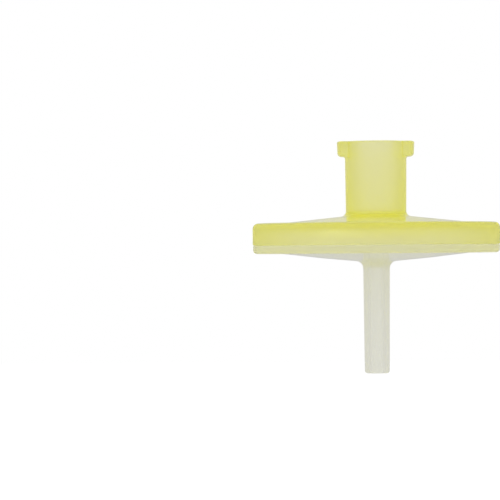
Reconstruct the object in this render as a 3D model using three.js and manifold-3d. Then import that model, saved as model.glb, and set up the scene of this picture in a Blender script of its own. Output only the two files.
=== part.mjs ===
// Syringe filter: an inlet housing and an outlet housing, welded together around a membrane disc.
// Lengths are in millimetres. The origin is the centre of the luer inlet's mouth. +Z points out of
// the mouth, towards the syringe, and the outlet tube runs down -Z. The lock lugs stand out along X.
import * as THREE from "three";
import { mergeVertices } from "three/addons/utils/BufferGeometryUtils.js";
import Module from "manifold-3d";

// Female luer-lock inlet
const mouthDiameter = 4.3; // bore at the mouth
const luerTaper = 0.06; // bore diameter lost for each unit of depth
const luerDepth = 7.5;
const mouthChamfer = 0.15;
const boreFloorFillet = 0.2;
const orificeDiameter = 1.8; // from the bore's floor into the filter chamber
const orificeLength = 1.25;
const hubWall = 0.95; // around the bore's mouth
const hubDraft = 0.05; // radius lost from the mouth down to the foot
const hubEdgeFillet = 0.15;
const hubFootFillet = 0.55;

// Lock lugs, one on each side of the mouth
const lugReach = 0.815; // beyond the hub
const lugHeight = 1.55;
const lugWidth = 3.2;
const lugDraft = 0.06; // reach lost from the top of a lug to its underside
const lugTopFillet = 0.15;
const lugUnderFillet = 0.4;

// Membrane disc
const membraneRadius = 9.35;
const membraneThickness = 0.15;
const membraneClearance = 0.1; // around its edge
const clampWidth = 0.9; // of the membrane's edge, held between the housings

// Filter chamber above the membrane
const chamberCentreGap = 0.9; // ceiling to membrane at the orifice
const chamberEdgeGap = 0.25; // ceiling to membrane at the chamber's edge
const firstRidgeRadius = 3.24;
const ridgeHeight = 0.12;
const ridgeWidth = 0.4;

// Weld between the housings: the outlet housing's spigot ring stands up into the inlet housing's groove
const spigotWall = 1.8;
const spigotClearance = 0.05; // on each side of the spigot
const grooveRoof = 0.6; // wall left over the spigot

// Inlet housing's plate and skirt
const plateThickness = 1.45; // from the rim's top face to the membrane
const skirtWall = 1.2; // at the groove's roof
const skirtMouthWall = 0.4; // at the parting line: the joint's mating faces flare out towards it
const skirtHeight = 2.25; // from the rim's top face to the parting line
const coneRise = 0.67; // from the rim's top face to the hub's foot
const rimTopFillet = 0.6;
const partingFillet = 0.12; // on both edges of the parting line

// Outlet housing
const flangeThickness = 0.85;
const flangeInset = 0.04; // the flange is this much smaller than the skirt
const flangeUnderFillet = 0.4;
const underLand = 3.0; // flat ring between the flange's edge and the cone
const underConeDrop = 0.85; // from the flat underside to the tube's root
const underConeBulge = 0.055; // how far the cone's middle stands proud of a straight line
const drainEdgeDepth = 0.45; // below the membrane, at the chamber's edge
const drainCentreDepth = 0.9; // below the membrane, at the funnel
const funnelRadius = 1.5;
const funnelDepth = 0.8;
const firstSupportRadius = 2.1;
const supportRingWidth = 0.35;
const channelCount = 8; // radial drain channels through the support rings
const channelWidth = 0.7;

// Outlet tube
const tubeLength = 11.28; // from the cone's lowest point to the tip
const tubeRootDiameter = 2.7;
const tubeTipDiameter = 2.52;
const tubeBore = 1.2;
const tubeRootFillet = 0.75;
const tubeTipFillet = 0.28;
const tubeMouthChamfer = 0.1;

// Pattern and facets
const ringPitch = 1.165; // of the chamber's ridges and of the support rings
const turnSegments = 56; // around the axis
const filletStep = Math.PI / 6; // the widest angle that one facet of a fillet turns through
const filletShare = 0.48; // of a straight stretch that the fillet at either end may take up
const sink = 0.1; // how far a joined feature starts inside the wall that carries it
const overrun = 1; // how far a cutting block runs past what it cuts

// Levels down the axis, from the mouth at 0
const boreFloorZ = -luerDepth;
const ceilingZ = boreFloorZ - orificeLength;
const membraneTopZ = ceilingZ - chamberCentreGap;
const membraneBottomZ = membraneTopZ - membraneThickness;
const ceilingEdgeZ = membraneTopZ + chamberEdgeGap;
const rimTopZ = membraneTopZ + plateThickness;
const grooveZ = rimTopZ - grooveRoof;
const partingZ = rimTopZ - skirtHeight;
const rimBottomZ = partingZ - flangeThickness;
const tubeRootZ = rimBottomZ - underConeDrop;
const tubeTipZ = tubeRootZ - tubeLength;

// Radii, from the axis outwards
const mouthRadius = mouthDiameter / 2;
const boreFloorRadius = mouthRadius - (luerTaper * luerDepth) / 2;
const orificeRadius = orificeDiameter / 2;
const hubRadius = mouthRadius + hubWall;
const chamberRadius = membraneRadius - clampWidth;
const spigotInnerRadius = membraneRadius + membraneClearance;
const plugRadius = spigotInnerRadius - spigotClearance;
const spigotRadius = spigotInnerRadius + spigotWall;
const skirtInnerRadius = spigotRadius + spigotClearance;
const rimRadius = skirtInnerRadius + skirtWall;
const skirtMouthRadius = rimRadius - skirtMouthWall;
const spigotFootRadius = skirtMouthRadius - spigotClearance;

// Turns a list of corners, each [radius, z, fillet], into the points of a closed outline. A fillet is
// cut down where the straight stretches beside it are too short for it.
function filleted(corners) {
  const points = [];
  corners.forEach(([r, z, fillet = 0], i) => {
    const corner = new THREE.Vector2(r, z);
    const before = corners[(i + corners.length - 1) % corners.length];
    const after = corners[(i + 1) % corners.length];
    const back = new THREE.Vector2(before[0], before[1]).sub(corner);
    const on = new THREE.Vector2(after[0], after[1]).sub(corner);
    const room = filletShare * Math.min(back.length(), on.length());
    back.normalize();
    on.normalize();
    const half = Math.acos(THREE.MathUtils.clamp(back.dot(on), -1, 1)) / 2;
    const reach = Math.min(fillet / Math.tan(half), room);
    if (fillet === 0 || reach < 1e-3) {
      points.push(corner);
      return;
    }
    const radius = reach * Math.tan(half);
    const centre = back.clone().add(on).setLength(radius / Math.sin(half)).add(corner);
    const arm = corner.clone().addScaledVector(back, reach).sub(centre);
    const sweep = Math.sign(on.cross(back)) * (Math.PI - 2 * half);
    const steps = Math.ceil(Math.abs(sweep) / filletStep);
    for (let k = 0; k <= steps; k++) {
      points.push(arm.clone().rotateAround(new THREE.Vector2(), (sweep * k) / steps).add(centre));
    }
  });
  return points;
}

// A ring or tube turned about Z from a closed outline. With the axis on the left, the corners run
// anticlockwise.
function turned(corners) {
  const points = filleted(corners);
  points.push(points[0].clone());
  return new THREE.LatheGeometry(points, turnSegments).rotateX(Math.PI / 2);
}

function block(width, depth, lowZ, highZ) {
  return new THREE.BoxGeometry(width, depth, highZ - lowZ).translate(0, 0, (lowZ + highZ) / 2);
}

const wasm = await Module();
wasm.setup();

function solid(geometry) {
  const bare = new THREE.BufferGeometry();
  bare.setAttribute("position", geometry.getAttribute("position"));
  bare.setIndex(geometry.index);
  const merged = mergeVertices(bare, 1e-4);
  return new wasm.Manifold(
    new wasm.Mesh({
      numProp: 3,
      vertProperties: merged.attributes.position.array,
      triVerts: new Uint32Array(merged.index.array),
    }),
  );
}

function geometryOf(manifold) {
  const { vertProperties, triVerts } = manifold.getMesh();
  const geometry = new THREE.BufferGeometry();
  geometry.setAttribute("position", new THREE.BufferAttribute(vertProperties, 3));
  geometry.setIndex(new THREE.BufferAttribute(triVerts, 1));
  geometry.computeVertexNormals();
  return geometry;
}

// Middles of the rings of a pattern that starts at one radius and ends inside the chamber.
function ringMiddles(firstRadius, width) {
  const middles = [];
  for (let middle = firstRadius; middle + width / 2 < chamberRadius; middle += ringPitch) {
    middles.push(middle);
  }
  return middles;
}

// Height of the chamber's ceiling at a distance from the axis.
function ceilingAt(radius) {
  const share = (radius - orificeRadius) / (chamberRadius - orificeRadius);
  return THREE.MathUtils.lerp(ceilingZ, ceilingEdgeZ, share);
}

// Height of the drain floor at a distance from the axis.
function drainFloorAt(radius) {
  const share = (radius - funnelRadius) / (chamberRadius - funnelRadius);
  return membraneBottomZ - THREE.MathUtils.lerp(drainCentreDepth, drainEdgeDepth, share);
}

// The low ridges that spread the liquid over the membrane.
function ceilingRidges() {
  return ringMiddles(firstRidgeRadius, ridgeWidth).flatMap((middle) => {
    const inner = middle - ridgeWidth / 2;
    const outer = middle + ridgeWidth / 2;
    return [
      [inner, ceilingAt(inner)],
      [middle, ceilingAt(middle) - ridgeHeight],
      [outer, ceilingAt(outer)],
    ];
  });
}

// Hub, cone, plate and skirt in one moulding: down the bore, out along the underside, back over the top.
function inletBody() {
  return turned([
    [hubRadius, 0, hubEdgeFillet],
    [mouthRadius + mouthChamfer, 0],
    [mouthRadius - (luerTaper * mouthChamfer) / 2, -mouthChamfer],
    [boreFloorRadius, boreFloorZ, boreFloorFillet],
    [orificeRadius, boreFloorZ],
    [orificeRadius, ceilingZ],
    ...ceilingRidges(),
    [chamberRadius, ceilingEdgeZ],
    [chamberRadius, membraneTopZ],
    [plugRadius, membraneTopZ],
    [plugRadius, grooveZ],
    [skirtInnerRadius, grooveZ],
    [skirtMouthRadius, partingZ],
    [rimRadius, partingZ, partingFillet],
    [rimRadius, rimTopZ, rimTopFillet],
    [plugRadius, rimTopZ],
    [hubRadius - hubDraft, rimTopZ + coneRise, hubFootFillet],
  ]);
}

// Both lugs: a flange ring around the mouth, kept only where a block as wide as a lug crosses it.
function lockLugs() {
  const rootRadius = hubRadius - hubWall / 2;
  const topRadius = hubRadius + lugReach;
  const ring = turned([
    [topRadius, 0, lugTopFillet],
    [rootRadius, 0],
    [rootRadius, -lugHeight],
    [topRadius - lugDraft, -lugHeight, lugUnderFillet],
  ]);
  const across = block(2 * (topRadius + overrun), lugWidth, -lugHeight - overrun, overrun);
  return solid(ring).intersect(solid(across));
}

function inletHousing() {
  return geometryOf(solid(inletBody()).add(lockLugs()));
}

function membrane() {
  return new THREE.CylinderGeometry(membraneRadius, membraneRadius, membraneThickness, turnSegments)
    .rotateX(Math.PI / 2)
    .translate(0, 0, (membraneTopZ + membraneBottomZ) / 2);
}

// Spigot, floor, flange, cone and tube in one moulding: over the top inwards, down the bore, back outside.
function outletBody() {
  const boreRadius = tubeBore / 2;
  const flangeRadius = rimRadius - flangeInset;
  const coneRadius = rimRadius - underLand;
  const rootRadius = tubeRootDiameter / 2;
  return turned([
    [spigotRadius, grooveZ],
    [spigotInnerRadius, grooveZ],
    [spigotInnerRadius, membraneBottomZ],
    [chamberRadius, membraneBottomZ],
    [chamberRadius, drainFloorAt(chamberRadius)],
    [funnelRadius, drainFloorAt(funnelRadius)],
    [boreRadius, drainFloorAt(funnelRadius) - funnelDepth],
    [boreRadius, tubeTipZ + tubeMouthChamfer],
    [boreRadius + tubeMouthChamfer, tubeTipZ],
    [tubeTipDiameter / 2, tubeTipZ, tubeTipFillet],
    [rootRadius, tubeRootZ, tubeRootFillet],
    [(coneRadius + rootRadius) / 2, (rimBottomZ + tubeRootZ) / 2 - underConeBulge],
    [coneRadius, rimBottomZ],
    [flangeRadius, rimBottomZ, flangeUnderFillet],
    [flangeRadius, partingZ, partingFillet],
    [spigotFootRadius, partingZ],
  ]);
}

// Concentric rings that hold the membrane up off the drain floor.
function supportRings() {
  const rings = ringMiddles(firstSupportRadius, supportRingWidth).map((middle) => {
    const inner = middle - supportRingWidth / 2;
    const outer = middle + supportRingWidth / 2;
    return solid(
      turned([
        [outer, membraneBottomZ],
        [inner, membraneBottomZ],
        [inner, drainFloorAt(inner) - sink],
        [outer, drainFloorAt(outer) - sink],
      ]),
    );
  });
  return wasm.Manifold.union(rings);
}

// Radial blocks, one for each drain channel, from the axis out to the chamber's edge.
function drainChannels() {
  const lowZ = membraneBottomZ - drainCentreDepth - overrun;
  const channels = [];
  for (let i = 0; i < channelCount; i++) {
    const channel = block(chamberRadius, channelWidth, lowZ, membraneBottomZ + overrun)
      .translate(chamberRadius / 2, 0, 0)
      .rotateZ(((i + 0.5) * 2 * Math.PI) / channelCount);
    channels.push(solid(channel));
  }
  return wasm.Manifold.union(channels);
}

function outletHousing() {
  const rings = supportRings().subtract(drainChannels());
  return geometryOf(solid(outletBody()).add(rings));
}

function plastic(color, roughness) {
  return new THREE.MeshStandardMaterial({ color, roughness, metalness: 0 });
}

const part = new THREE.Group();

function place(name, geometry, material) {
  const mesh = new THREE.Mesh(geometry, material);
  mesh.name = name;
  part.add(mesh);
}

place("inlet_housing", inletHousing(), plastic(0xdfdb74, 0.4));
place("membrane", membrane(), plastic(0xf4f3ee, 0.9));
place("outlet_housing", outletHousing(), plastic(0xd8d5cb, 0.4));

export default part;
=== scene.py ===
"""Looks of a luer-lock syringe filter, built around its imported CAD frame.

The part's sizes are in millimetres and are turned into Blender's metres where a mesh is made. The camera,
the lights and the floor are in metres. The frame is the CAD's: the origin is the centre of the luer
inlet's mouth and +Z points out of it.
"""

import math

import bpy
from mathutils import Euler, Matrix, Vector


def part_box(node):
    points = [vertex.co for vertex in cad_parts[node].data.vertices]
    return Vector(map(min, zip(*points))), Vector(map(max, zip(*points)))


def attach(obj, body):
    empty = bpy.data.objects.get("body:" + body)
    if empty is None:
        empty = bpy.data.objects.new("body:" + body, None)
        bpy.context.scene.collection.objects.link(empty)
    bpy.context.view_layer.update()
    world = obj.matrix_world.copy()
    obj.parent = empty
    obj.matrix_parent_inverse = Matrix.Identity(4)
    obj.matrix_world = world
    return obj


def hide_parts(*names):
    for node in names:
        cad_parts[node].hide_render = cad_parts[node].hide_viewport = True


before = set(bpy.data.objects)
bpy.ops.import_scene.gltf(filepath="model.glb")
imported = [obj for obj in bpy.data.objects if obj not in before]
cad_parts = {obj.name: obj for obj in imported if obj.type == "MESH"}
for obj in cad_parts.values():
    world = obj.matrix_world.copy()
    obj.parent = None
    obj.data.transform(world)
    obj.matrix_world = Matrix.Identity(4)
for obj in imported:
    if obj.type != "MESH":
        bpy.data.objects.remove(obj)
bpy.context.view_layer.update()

MM = 0.001


def level(node, top):
    """Height of a CAD node's top or bottom, in millimetres."""
    low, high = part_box(node)
    return (high if top else low)[2] / MM


def reach(node):
    """A CAD node's radius about the Z axis, in millimetres."""
    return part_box(node)[1][1] / MM


# Levels and radii that the frame gives
RIM_RADIUS = reach("inlet_housing")
PARTING_Z = level("inlet_housing", top=False)
MEMBRANE_RADIUS = reach("membrane")
MEMBRANE_TOP_Z = level("membrane", top=True)
MEMBRANE_BOTTOM_Z = level("membrane", top=False)
FLANGE_RADIUS = reach("outlet_housing")
GROOVE_Z = level("outlet_housing", top=True)
TIP_Z = level("outlet_housing", top=False)

# Luer inlet
MOUTH_RADIUS = 2.15
MOUTH_LAND = 0.3  # from the bore's edge to where the outline starts on the mouth's flat
MOUTH_LEAD_IN = 0.05
LEAD_IN_DEPTH = 0.5
LEAD_IN_FILLET = 0.3
LUER_TAPER = 0.03  # radius lost for each unit of depth
LUER_DEPTH = 7.5
HUB_RADIUS = 3.1
HUB_DRAFT = 0.05
HUB_FOOT_FILLET = 0.55
MOUTH_FILLET = 0.15
ORIFICE_RADIUS = 0.9
CEILING_Z = -8.75
LUG_RADIUS = 3.915
LUG_HEIGHT = 1.55
LUG_HALF_WIDTH = 1.6
LUG_DRAFT = 0.06
LUG_ROOT_FILLET = 0.25
LUG_UNDER_FILLET = 0.4
TOP_BAND = 0.4  # width of the strip of top face next to the edge, with or without a lug

# Plate, cone and skirt
GROOVE_ROOF = 0.6  # thickness of the plate above the groove that the spigot fills
CONE_RISE = 0.67
CONE_FILLET = 2.0
CHAMBER_RADIUS = 8.45
CHAMBER_EDGE_GAP = 0.25
MEMBRANE_CLEARANCE = 0.1
SPIGOT_CLEARANCE = 0.05
SKIRT_WALL = 1.2
SKIRT_MOUTH_WALL = 0.4
RIM_FILLET = 0.6
PARTING_FILLET = 0.14
RIDGE_PITCH = 1.165
FIRST_RIDGE = 3.24
RIDGE_HEIGHT = 0.12
RIDGE_WIDTH = 0.4

# What both housings share
SEAM = 0.01  # kept between faces that touch in the CAD, so that no two of them coincide
EASE = 0.05  # fillet of an inner corner
SOFT_EASE = 0.1

# Outlet housing
FLANGE_THICKNESS = 0.85
FLANGE_FILLET = 0.4
UNDER_LAND = 3.0  # from the rim's radius in to the cone under the flange
UNDER_DROP = 0.85
UNDER_BULGE = 0.055  # how far the middle of that cone hangs below a straight line
UNDER_FILLET = 4
DRAIN_EDGE_DEPTH = 0.45
DRAIN_CENTRE_DEPTH = 0.9
FUNNEL_RADIUS = 1.5
FUNNEL_DEPTH = 0.8
FUNNEL_TOP_FILLET = 0.3
FUNNEL_FOOT_FILLET = 0.5
FIRST_SUPPORT = 2.1
SUPPORT_WIDTH = 0.35
SUPPORT_FILLET = 0.06
CHANNELS = 8
CHANNEL_WIDTH = 0.7
CHANNEL_EDGE = 0.12  # over which a support ring falls away into a channel
CHANNEL_FUNNEL_GAP = 0.1
CHANNEL_WALL_GAP = 0.15
CHANNEL_CUT = 0.999  # share of a support ring's height that a channel takes away
TUBE_ROOT_RADIUS = 1.35
TUBE_TIP_RADIUS = 1.26
TUBE_BORE_RADIUS = 0.6
TUBE_ROOT_FILLET = 0.75
TUBE_TIP_FILLET = 0.28
TUBE_MOUTH_FILLET = 0.12

RIM_TOP_Z = GROOVE_Z + GROOVE_ROOF
RIM_BOTTOM_Z = PARTING_Z - FLANGE_THICKNESS
TUBE_ROOT_Z = RIM_BOTTOM_Z - UNDER_DROP
SPIGOT_INNER_RADIUS = MEMBRANE_RADIUS + MEMBRANE_CLEARANCE
PLUG_RADIUS = SPIGOT_INNER_RADIUS - SPIGOT_CLEARANCE
SKIRT_INNER_RADIUS = RIM_RADIUS - SKIRT_WALL
SPIGOT_RADIUS = SKIRT_INNER_RADIUS - SPIGOT_CLEARANCE
SKIRT_MOUTH_RADIUS = RIM_RADIUS - SKIRT_MOUTH_WALL
HUB_SPLIT_Z = -LUG_HEIGHT - 0.5  # where the part of the outline that changes through a lug begins

# Fineness of the meshes
SEGMENTS = 192
FLANK_STEPS = 8
FILLET_STEP = math.radians(12)
FILLET_SHARE = 0.48  # of a side, which a fillet takes at the most
LONGEST_STEP = 0.3
SHARP_ANGLE = math.radians(40)

# Points on the three stretches of the outline that change through a lug
LOWER_POINTS = 24
EDGE_POINTS = 14
TOP_POINTS = 6


# ---------------------------------------------------------------- outlines

def filleted(corners, closed=True):
    """Points of an outline whose corners are (radius, z) or (radius, z, fillet)."""
    points = []
    count = len(corners)
    for i, (r, z, *rest) in enumerate(corners):
        corner = Vector((r, z))
        fillet = rest[0] if rest else 0
        if not fillet or (not closed and i in (0, count - 1)):
            points.append(corner)
            continue
        back = Vector(corners[i - 1][:2]) - corner
        on = Vector(corners[(i + 1) % count][:2]) - corner
        room = FILLET_SHARE * min(back.length, on.length)
        back.normalize()
        on.normalize()
        half = back.angle(on) / 2
        span = min(fillet / math.tan(half), room)
        radius = span * math.tan(half)
        centre = corner + (back + on).normalized() * radius / math.sin(half)
        arm = corner + back * span - centre
        sweep = math.copysign(math.pi - 2 * half, on.x * back.y - on.y * back.x)
        steps = max(2, math.ceil(abs(sweep) / FILLET_STEP))
        for k in range(steps + 1):
            points.append(centre + Matrix.Rotation(sweep * k / steps, 2) @ arm)
    return points


def divided(points, closed=True):
    """The same outline with its long straight stretches cut into short ones."""
    result = []
    ends = points[1:] + points[:1] if closed else points[1:]
    for a, b in zip(points, ends):
        steps = max(1, math.ceil((b - a).length / LONGEST_STEP))
        result += [a.lerp(b, k / steps) for k in range(steps)]
    if not closed:
        result.append(points[-1])
    return result


def spread(points, count):
    """An open outline as a set number of points, evenly spaced along it."""
    lengths = [0]
    for a, b in zip(points, points[1:]):
        lengths.append(lengths[-1] + (b - a).length)
    result = []
    k = 0
    for i in range(count):
        at = lengths[-1] * i / (count - 1)
        while k < len(points) - 2 and lengths[k + 1] < at:
            k += 1
        share = (at - lengths[k]) / (lengths[k + 1] - lengths[k])
        result.append(points[k].lerp(points[k + 1], share))
    return result


def smooth(x):
    """0 up to 0, 1 from 1 on, and a rise without corners between them."""
    x = min(1, max(0, x))
    return x * x * (3 - 2 * x)


# ---------------------------------------------------------------- meshes

TURN = [2 * math.pi * j / SEGMENTS for j in range(SEGMENTS)]


def revolved(name, outline_at, angles=TURN):
    """A closed ring whose section at an angle about Z is the closed outline that outline_at gives."""
    sections = [outline_at(angle) for angle in angles]
    count = len(sections[0])
    verts = []
    for angle, section in zip(angles, sections):
        cosine, sine = math.cos(angle), math.sin(angle)
        verts += [(p.x * cosine * MM, p.x * sine * MM, p.y * MM) for p in section]
    faces = []
    for j in range(len(angles)):
        a, b = j * count, (j + 1) % len(angles) * count
        for i in range(count):
            k = (i + 1) % count
            faces.append((a + i, b + i, b + k, a + k))
    return mesh_object(name, verts, faces)


def mesh_object(name, verts, faces):
    mesh = bpy.data.meshes.new(name)
    mesh.from_pydata(verts, [], faces)
    mesh.validate()
    mesh.shade_smooth()
    mesh.set_sharp_from_angle(angle=SHARP_ANGLE)
    return link_object(name, mesh)


def link_object(name, data):
    piece = bpy.data.objects.new(name, data)
    bpy.context.scene.collection.objects.link(piece)
    return piece


def dress(piece, node, material):
    piece.data.materials.append(material)
    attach(piece, "root")
    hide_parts(node)


# ---------------------------------------------------------------- inlet housing

def ceiling_at(radius):
    """Height of the chamber's ceiling, which rises towards the orifice."""
    share = (radius - ORIFICE_RADIUS) / (CHAMBER_RADIUS - ORIFICE_RADIUS)
    return CEILING_Z + share * (MEMBRANE_TOP_Z + CHAMBER_EDGE_GAP - CEILING_Z)


def ring_middles(first, width):
    """Middle radii of the rings of this width that fit in the chamber."""
    middle = first
    while middle + width / 2 < CHAMBER_RADIUS:
        yield middle
        middle += RIDGE_PITCH


def ceiling_ridges():
    for middle in ring_middles(FIRST_RIDGE, RIDGE_WIDTH):
        inner, outer = middle - RIDGE_WIDTH / 2, middle + RIDGE_WIDTH / 2
        yield (inner, ceiling_at(inner), SOFT_EASE)
        yield (middle, ceiling_at(middle) - RIDGE_HEIGHT, SOFT_EASE)
        yield (outer, ceiling_at(outer), SOFT_EASE)


def inlet_fixed_part():
    """The inlet housing's outline from the mouth down the bore, round the skirt, and up to the hub's wall."""
    corners = [
        (MOUTH_RADIUS + MOUTH_LAND, 0),
        (MOUTH_RADIUS + MOUTH_LEAD_IN, 0, MOUTH_FILLET),
        (MOUTH_RADIUS - LUER_TAPER * LEAD_IN_DEPTH, -LEAD_IN_DEPTH, LEAD_IN_FILLET),
        (MOUTH_RADIUS - LUER_TAPER * LUER_DEPTH, -LUER_DEPTH, SOFT_EASE),
        (ORIFICE_RADIUS, -LUER_DEPTH, EASE),
        (ORIFICE_RADIUS, CEILING_Z, SOFT_EASE),
        *ceiling_ridges(),
        (CHAMBER_RADIUS, MEMBRANE_TOP_Z + CHAMBER_EDGE_GAP, SOFT_EASE),
        (CHAMBER_RADIUS, MEMBRANE_TOP_Z + SEAM, EASE),
        (PLUG_RADIUS, MEMBRANE_TOP_Z + SEAM, EASE),
        (PLUG_RADIUS, GROOVE_Z + SEAM, EASE),
        (SKIRT_INNER_RADIUS, GROOVE_Z + SEAM, EASE),
        (SKIRT_MOUTH_RADIUS, PARTING_Z, EASE),
        (RIM_RADIUS, PARTING_Z, PARTING_FILLET),
        (RIM_RADIUS, RIM_TOP_Z, RIM_FILLET),
        (PLUG_RADIUS, RIM_TOP_Z, CONE_FILLET),
        (HUB_RADIUS - HUB_DRAFT, RIM_TOP_Z + CONE_RISE, HUB_FOOT_FILLET),
        (HUB_RADIUS, HUB_SPLIT_Z),
    ]
    return divided(filleted(corners, closed=False), closed=False)


def hub_top(lower, edge, top):
    """One outline from three stretches, each as a set number of points, so that any two of them blend."""
    points = []
    for corners, count in ((lower, LOWER_POINTS), (edge, EDGE_POINTS), (top, TOP_POINTS)):
        points += spread(filleted(corners, closed=False), count)[1:]
    return points


def plain_hub_top():
    """The hub's outer wall and top edge, away from the lugs."""
    middle = (HUB_RADIUS, -LUG_HEIGHT / 2)
    band = (HUB_RADIUS - TOP_BAND, 0)
    return hub_top(
        [(HUB_RADIUS, HUB_SPLIT_Z), middle],
        [middle, (HUB_RADIUS, 0, MOUTH_FILLET), band],
        [band, (MOUTH_RADIUS + MOUTH_LAND, 0)],
    )


def lug_top():
    """The same stretch of outline through the middle of a lug."""
    middle = (LUG_RADIUS - LUG_DRAFT / 2, -LUG_HEIGHT / 2)
    band = (LUG_RADIUS - TOP_BAND, 0)
    return hub_top(
        [
            (HUB_RADIUS, HUB_SPLIT_Z),
            (HUB_RADIUS, -LUG_HEIGHT, LUG_ROOT_FILLET),
            (LUG_RADIUS - LUG_DRAFT, -LUG_HEIGHT, LUG_UNDER_FILLET),
            middle,
        ],
        [middle, (LUG_RADIUS, 0, MOUTH_FILLET), band],
        [band, (MOUTH_RADIUS + MOUTH_LAND, 0)],
    )


def flank_angles():
    """Extra sections across the flanks of both lugs."""
    first, last = (math.asin(LUG_HALF_WIDTH / radius) for radius in (LUG_RADIUS, HUB_RADIUS))
    for k in range(FLANK_STEPS + 1):
        angle = first + (last - first) * k / FLANK_STEPS
        yield from (angle, math.pi - angle, math.pi + angle, 2 * math.pi - angle)


def lug_share(angle):
    """1 through a lug, 0 away from it: the lug's flanks are parallel planes with rounded edges."""
    side = abs(math.sin(angle))
    if side * LUG_RADIUS < LUG_HALF_WIDTH:
        return 1
    radius = LUG_HALF_WIDTH / side
    return smooth((radius - HUB_RADIUS) / (LUG_RADIUS - HUB_RADIUS))


def inlet_housing(material):
    fixed = inlet_fixed_part()
    plain, lug = plain_hub_top(), lug_top()

    def outline_at(angle):
        share = lug_share(angle)
        changing = [a.lerp(b, share) for a, b in zip(plain, lug)]
        return fixed + changing[:-1]

    piece = revolved("inlet_shell", outline_at, sorted([*TURN, *flank_angles()]))
    dress(piece, "inlet_housing", material)


# ---------------------------------------------------------------- outlet housing

def drain_floor_at(radius):
    """Height of the drain's floor, which falls towards the funnel."""
    share = (radius - FUNNEL_RADIUS) / (CHAMBER_RADIUS - FUNNEL_RADIUS)
    depth = DRAIN_CENTRE_DEPTH + share * (DRAIN_EDGE_DEPTH - DRAIN_CENTRE_DEPTH)
    return MEMBRANE_BOTTOM_Z - depth


def drain_corners():
    """The drain floor from the chamber's edge inwards, with the support rings that stand on it."""
    yield (CHAMBER_RADIUS, MEMBRANE_BOTTOM_Z - SEAM, EASE)
    yield (CHAMBER_RADIUS, drain_floor_at(CHAMBER_RADIUS), SOFT_EASE)
    for middle in reversed(list(ring_middles(FIRST_SUPPORT, SUPPORT_WIDTH))):
        outer, inner = middle + SUPPORT_WIDTH / 2, middle - SUPPORT_WIDTH / 2
        yield (outer, drain_floor_at(outer), SUPPORT_FILLET)
        yield (outer, MEMBRANE_BOTTOM_Z - SEAM, SUPPORT_FILLET)
        yield (inner, MEMBRANE_BOTTOM_Z - SEAM, SUPPORT_FILLET)
        yield (inner, drain_floor_at(inner), SUPPORT_FILLET)


def outlet_outline():
    """The outlet housing's outline from the spigot's top inwards, down the bore and back outside."""
    cone_radius = RIM_RADIUS - UNDER_LAND
    cone_middle_z = (RIM_BOTTOM_Z + TUBE_ROOT_Z) / 2 - UNDER_BULGE
    corners = [
        (SPIGOT_RADIUS, GROOVE_Z, EASE),
        (SPIGOT_INNER_RADIUS, GROOVE_Z, EASE),
        (SPIGOT_INNER_RADIUS, MEMBRANE_BOTTOM_Z - SEAM, EASE),
        *drain_corners(),
        (FUNNEL_RADIUS, drain_floor_at(FUNNEL_RADIUS), FUNNEL_TOP_FILLET),
        (TUBE_BORE_RADIUS, drain_floor_at(FUNNEL_RADIUS) - FUNNEL_DEPTH, FUNNEL_FOOT_FILLET),
        (TUBE_BORE_RADIUS, TIP_Z, TUBE_MOUTH_FILLET),
        (TUBE_TIP_RADIUS, TIP_Z, TUBE_TIP_FILLET),
        (TUBE_ROOT_RADIUS, TUBE_ROOT_Z, TUBE_ROOT_FILLET),
        ((cone_radius + TUBE_ROOT_RADIUS) / 2, cone_middle_z, UNDER_FILLET),
        (cone_radius, RIM_BOTTOM_Z, UNDER_FILLET),
        (FLANGE_RADIUS, RIM_BOTTOM_Z, FLANGE_FILLET),
        (FLANGE_RADIUS, PARTING_Z - SEAM, PARTING_FILLET),
        (SKIRT_MOUTH_RADIUS - SPIGOT_CLEARANCE, PARTING_Z - SEAM, EASE),
    ]
    return divided(filleted(corners))


def in_channel(angle, radius):
    """1 in the middle of a radial drain channel, 0 outside it."""
    step = 2 * math.pi / CHANNELS
    off = (angle / step) % 1 - 0.5
    side = abs(radius * math.sin(off * step))
    return 1 - smooth((side - CHANNEL_WIDTH / 2) / CHANNEL_EDGE + 0.5)


def outlet_housing(material):
    outline = outlet_outline()
    first = FUNNEL_RADIUS + CHANNEL_FUNNEL_GAP
    last = CHAMBER_RADIUS - CHANNEL_WALL_GAP

    def outline_at(angle):
        section = []
        for p in outline:
            floor = drain_floor_at(p.x)
            if first < p.x < last and floor < p.y < MEMBRANE_BOTTOM_Z:
                share = in_channel(angle, p.x)
                p = Vector((p.x, p.y + share * (floor - p.y) * CHANNEL_CUT))
            section.append(p)
        return section

    piece = revolved("outlet_shell", outline_at)
    dress(piece, "outlet_housing", material)


# ---------------------------------------------------------------- membrane

def membrane(material):
    """A thin disc. It is made as a ring, whose pinhole is too small to see."""
    pinhole = 0.02
    steps = 40
    rings = [pinhole + (MEMBRANE_RADIUS - pinhole) * k / steps for k in range(steps + 1)]
    top = [Vector((r, MEMBRANE_TOP_Z - SEAM)) for r in reversed(rings)]
    bottom = [Vector((r, MEMBRANE_BOTTOM_Z + SEAM)) for r in rings]
    outline = top + bottom

    piece = revolved("filter_membrane", lambda angle: outline)
    dress(piece, "membrane", material)


# ---------------------------------------------------------------- materials

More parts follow.
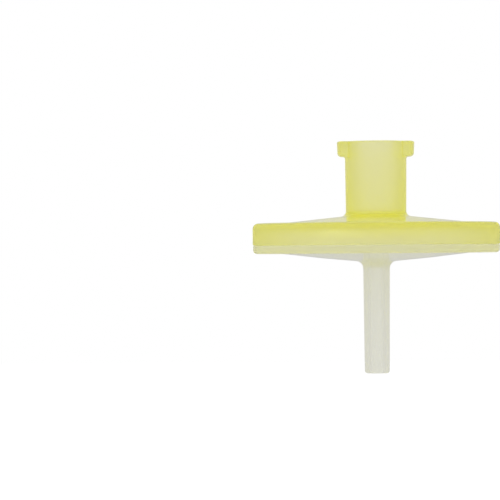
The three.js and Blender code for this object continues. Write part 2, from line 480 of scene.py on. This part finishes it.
class Tree:
    """Short calls for a node tree."""

    def __init__(self, owner):
        owner.use_nodes = True
        self.owner = owner
        self.nodes = owner.node_tree.nodes
        self.links = owner.node_tree.links
        self.nodes.clear()

    def add(self, kind, **values):
        """A new node. A value named after an input, with _ for a space, sets that input.

        Any other value sets the node itself.
        """
        node = self.nodes.new("ShaderNode" + kind)
        for key, value in values.items():
            name = key.replace("_", " ")
            if name in node.inputs:
                socket = node.inputs[name]
                if isinstance(value, bpy.types.NodeSocket):
                    self.links.new(value, socket)
                else:
                    socket.default_value = value
            else:
                setattr(node, key, value)
        return node

    def join(self, kind, *sources, **values):
        """A node whose first inputs take these sources, such as Add Shader or Math."""
        node = self.add(kind, **values)
        for socket, source in zip(node.inputs, sources):
            if isinstance(source, bpy.types.NodeSocket):
                self.links.new(source, socket)
            else:
                socket.default_value = source
        return node.outputs[0]

    def noise(self, scale, detail, stretch=(1, 1, 1)):
        """Noise in the object's own space. scale is in features per millimetre."""
        place = self.add("TexCoord").outputs["Object"]
        mapping = self.add("Mapping", Vector=place, Scale=tuple(s * scale / MM for s in stretch))
        return self.add("TexNoise", Vector=mapping.outputs[0], Scale=1, Detail=detail).outputs["Fac"]

    def math(self, operation, *sources):
        return self.join("Math", *sources, operation=operation)

    def between(self, share, low, high):
        """low where share is 0, high where it is 1."""
        return self.add("MapRange", Value=share, To_Min=low, To_Max=high).outputs[0]

    def ring(self, inner, outer, low, high):
        """1 in the ring about Z between two radii and two heights, in millimetres, and 0 outside it."""
        place = self.add("TexCoord").outputs["Object"]
        x, y, z = self.add("SeparateXYZ", Vector=place).outputs
        squares = self.math("ADD", self.math("MULTIPLY", x, x), self.math("MULTIPLY", y, y))
        radius = self.math("POWER", squares, 0.5)
        inside = [
            self.math("COMPARE", value, (least + most) / 2 * MM, (most - least) / 2 * MM)
            for value, least, most in ((radius, inner, outer), (z, low, high))
        ]
        return self.math("MULTIPLY", *inside)

    def blend(self, share, first, second):
        """The first colour where share is 0, the second where it is 1."""
        mix = self.add("Mix", data_type="RGBA", Factor=share)
        colours = [socket for socket in mix.inputs if socket.type == "RGBA"]
        for socket, colour in zip(colours, (first, second)):
            socket.default_value = (*colour, 1)
        return mix.outputs["Result"]


PLASTIC_IOR = 1.49
SCATTER_FORWARD = 0.9
GLOSS_LOW, GLOSS_HIGH = 0.08, 0.18  # roughness of the glossy walls
RIM_SATIN = 0.7  # roughness of the rim's outer wall
HUB_SATIN = 0.32
FLOW_SCALE = 0.35
GRAIN_SCALE = 3.0
GRAIN_DEPTH = 0.01
PORE_SCALE = 12
PORE_DEPTH = 0.01

# Where the rings that pick out a surface for its finish begin, and how far they go past it
DISC_START = HUB_RADIUS + 0.5
RIM_WALL_START = RIM_RADIUS - 0.3
HUB_WALL_START = MOUTH_RADIUS + 0.45
HUB_WALL_BOTTOM_Z = 0.1 - LUER_DEPTH
BEYOND = 1
WELD_MARGIN = 0.02


def mould_marks(tree):
    """Fine marks of the mould: up and down on the hub and the tube, and around the disc."""
    disc = tree.ring(DISC_START, RIM_RADIUS + BEYOND, RIM_BOTTOM_Z - BEYOND, RIM_TOP_Z + BEYOND)
    upright = tree.noise(GRAIN_SCALE, detail=4, stretch=(1, 1, 0.1))
    around = tree.noise(GRAIN_SCALE, detail=4, stretch=(0.1, 0.1, 1))
    return tree.between(disc, upright, around)


def wall_roughness(tree, grain):
    """The outer walls of the rim and the hub are satin, and all others are glossy."""
    rim = tree.ring(RIM_WALL_START, RIM_RADIUS + BEYOND, RIM_BOTTOM_Z - BEYOND, RIM_TOP_Z + BEYOND)
    hub = tree.ring(HUB_WALL_START, LUG_RADIUS + BEYOND, HUB_WALL_BOTTOM_Z, BEYOND)
    satin = tree.math("ADD", tree.math("MULTIPLY", rim, RIM_SATIN), tree.math("MULTIPLY", hub, HUB_SATIN))
    return tree.math("MAXIMUM", tree.between(grain, GLOSS_LOW, GLOSS_HIGH), satin)


def wall_ior(tree):
    """The weld has made the two housings one at the groove's roof and inner wall.

    There light passes from one into the other and isn't bent. The spigot's outer wall isn't welded.
    """
    inner, outer = PLUG_RADIUS - WELD_MARGIN, SPIGOT_RADIUS - 2 * WELD_MARGIN
    weld = tree.ring(inner, outer, PARTING_Z - WELD_MARGIN, GROOVE_Z + WELD_MARGIN)
    return tree.between(weld, PLASTIC_IOR, 1.0)


def plastic(name, clear, cloudy, absorbed, scattered):
    """Milky moulded plastic.

    clear and cloudy are its surface tints, which drift into each other over a few millimetres. absorbed is
    the light that a millimetre takes away in red, green and blue, and scattered is what it sends aside.
    """
    tree = Tree(bpy.data.materials.new(name))
    flow = tree.noise(FLOW_SCALE, detail=3, stretch=(1, 1, 0.4))
    grain = mould_marks(tree)
    bump = tree.add("Bump", Strength=0.6, Distance=GRAIN_DEPTH * MM, Height=grain)
    surface = tree.add(
        "BsdfPrincipled",
        Base_Color=tree.blend(flow, clear, cloudy),
        Roughness=wall_roughness(tree, grain),
        IOR=wall_ior(tree),
        Transmission_Weight=1.0,
        Normal=bump.outputs[0],
    )
    most = max(absorbed)
    left = [1 - share / most for share in absorbed]
    absorption = tree.add("VolumeAbsorption", Color=(*left, 1), Density=most / MM)
    scatter = tree.add(
        "VolumeScatter",
        Color=(1, 1, 1, 1),
        Density=scattered / MM,
        Anisotropy=SCATTER_FORWARD,
    )
    inside = tree.join("AddShader", absorption.outputs[0], scatter.outputs[0])
    tree.add("OutputMaterial", Surface=surface.outputs[0], Volume=inside)
    return tree.owner


def film():
    """Matt white filter membrane, with a fine pore texture."""
    tree = Tree(bpy.data.materials.new("membrane_film"))
    pores = tree.noise(PORE_SCALE, detail=5)
    bump = tree.add("Bump", Strength=0.4, Distance=PORE_DEPTH * MM, Height=pores)
    surface = tree.add(
        "BsdfPrincipled",
        Base_Color=tree.blend(pores, (0.93, 0.93, 0.91), (0.97, 0.97, 0.96)),
        Roughness=0.9,
        Normal=bump.outputs[0],
    )
    tree.add("OutputMaterial", Surface=surface.outputs[0])
    return tree.owner


lemon = plastic(
    "inlet_plastic",
    clear=(1.0, 0.99, 0.96),
    cloudy=(0.99, 0.985, 0.94),
    absorbed=(0.001, 0.003, 0.28),
    scattered=0.85,
)
natural = plastic(
    "outlet_plastic",
    clear=(1.0, 1.0, 0.98),
    cloudy=(0.995, 0.995, 0.945),
    absorbed=(0.0005, 0.001, 0.020),
    scattered=1.6,
)
inlet_housing(lemon)
outlet_housing(natural)
membrane(film())


# ---------------------------------------------------------------- camera, lights and surroundings

CAMERA_DISTANCE = 0.33
FRAME_WIDTH = 0.0506
CAMERA_HEIGHT = -0.01088
OBJECT_OFFSET = 0.01279
ROLL = math.radians(0.45)
SENSOR = 36

STUDIO_GLOW = 0.71
FLOOR_COLOUR = 0.8
FLOOR_DROP = 0.03
FLOOR_SIZE = 1.8


def camera():
    """The camera stands square to the part, leaves it in the frame's right half, and rolls a little."""
    data = bpy.data.cameras.new("camera")
    data.sensor_width = SENSOR
    data.lens = SENSOR * CAMERA_DISTANCE / FRAME_WIDTH
    data.clip_start = 0.01
    data.clip_end = 20
    piece = link_object("camera", data)
    piece.location = (0, -CAMERA_DISTANCE, CAMERA_HEIGHT)
    yaw = math.atan(OBJECT_OFFSET / CAMERA_DISTANCE)
    look = Euler((math.pi / 2, 0, yaw)).to_matrix().to_4x4()
    piece.rotation_euler = (look @ Matrix.Rotation(-ROLL, 4, "Z")).to_euler()
    bpy.context.scene.camera = piece


def softbox(name, location, size, power):
    data = bpy.data.lights.new(name, "AREA")
    data.shape = "SQUARE"
    data.size = size
    data.energy = power
    piece = link_object(name, data)
    piece.location = location
    piece.rotation_euler = Vector(location).to_track_quat("Z", "Y").to_euler()


FACES_OF_TWO_WALLS = 4


def looking_straight(tree, bounces_at_once=0):
    """1 for a camera ray that comes to the background straight, or through two walls at the most.

    A ray that the object has reflected or scattered, or that has crossed more of its faces, gets 0 and
    finds the studio at its own level. bounces_at_once is what Cycles counts for a ray that nothing has
    turned.
    """
    path = tree.add("LightPath")
    passed = path.outputs["Transmission Depth"]
    through = tree.math("MAXIMUM", path.outputs["Is Glossy Ray"], path.outputs["Is Transmission Ray"])
    seen = tree.math("MAXIMUM", path.outputs["Is Camera Ray"], through)
    turned = tree.math("SUBTRACT", path.outputs["Ray Depth"], passed)
    straight = tree.math("LESS_THAN", turned, bounces_at_once + 0.5)
    thin = tree.math("LESS_THAN", passed, FACES_OF_TWO_WALLS + 0.5)
    return tree.math("MULTIPLY", seen, tree.math("MULTIPLY", straight, thin))


def studio_world():
    world = bpy.data.worlds.new("studio")
    bpy.context.scene.world = world
    world.cycles.sampling_method = "NONE"
    tree = Tree(world)
    glow = tree.add("Background", Color=(1, 1, 1, 1), Strength=STUDIO_GLOW)
    white = tree.add("Background", Color=(1, 1, 1, 1), Strength=1.0)
    mix = tree.add("MixShader", Fac=looking_straight(tree, bounces_at_once=1))
    tree.links.new(glow.outputs[0], mix.inputs[1])
    tree.links.new(white.outputs[0], mix.inputs[2])
    tree.add("OutputWorld", Surface=mix.outputs[0])


def floor():
    """A pale floor below the part. What it gives by itself, seen straight, lifts its lit colour to white."""
    material = bpy.data.materials.new("floor")
    material.cycles.emission_sampling = "NONE"
    tree = Tree(material)
    paint = tree.add("BsdfDiffuse", Color=(FLOOR_COLOUR, FLOOR_COLOUR, FLOOR_COLOUR, 1))
    lift = tree.math("MULTIPLY", looking_straight(tree), 1 - FLOOR_COLOUR * STUDIO_GLOW)
    white = tree.add("Emission", Color=(1, 1, 1, 1), Strength=lift)
    both = tree.join("AddShader", paint.outputs[0], white.outputs[0])
    tree.add("OutputMaterial", Surface=both)

    half = FLOOR_SIZE / 2
    z = TIP_Z * MM - FLOOR_DROP
    mesh = bpy.data.meshes.new("floor")
    corners = [(-half, -half, z), (half, -half, z), (half, half, z), (-half, half, z)]
    mesh.from_pydata(corners, [], [(0, 1, 2, 3)])
    mesh.materials.append(material)
    link_object("floor", mesh)


BOUNCES = 256


def long_paths():
    """Lets light wander through milky plastic as long as it needs, with no blur that would lose light."""
    cycles = bpy.context.scene.cycles
    cycles.blur_glossy = 0
    cycles.max_bounces = BOUNCES
    cycles.volume_bounces = BOUNCES
    cycles.transmission_bounces = BOUNCES
    cycles.glossy_bounces = BOUNCES


long_paths()
studio_world()
floor()
camera()
softbox("key", location=(-0.9, -0.7, 1.1), size=0.8, power=3.0)
softbox("fill", location=(1.0, -0.6, 0.8), size=0.8, power=1.0)

bpy.context.scene.view_settings.view_transform = "Standard"
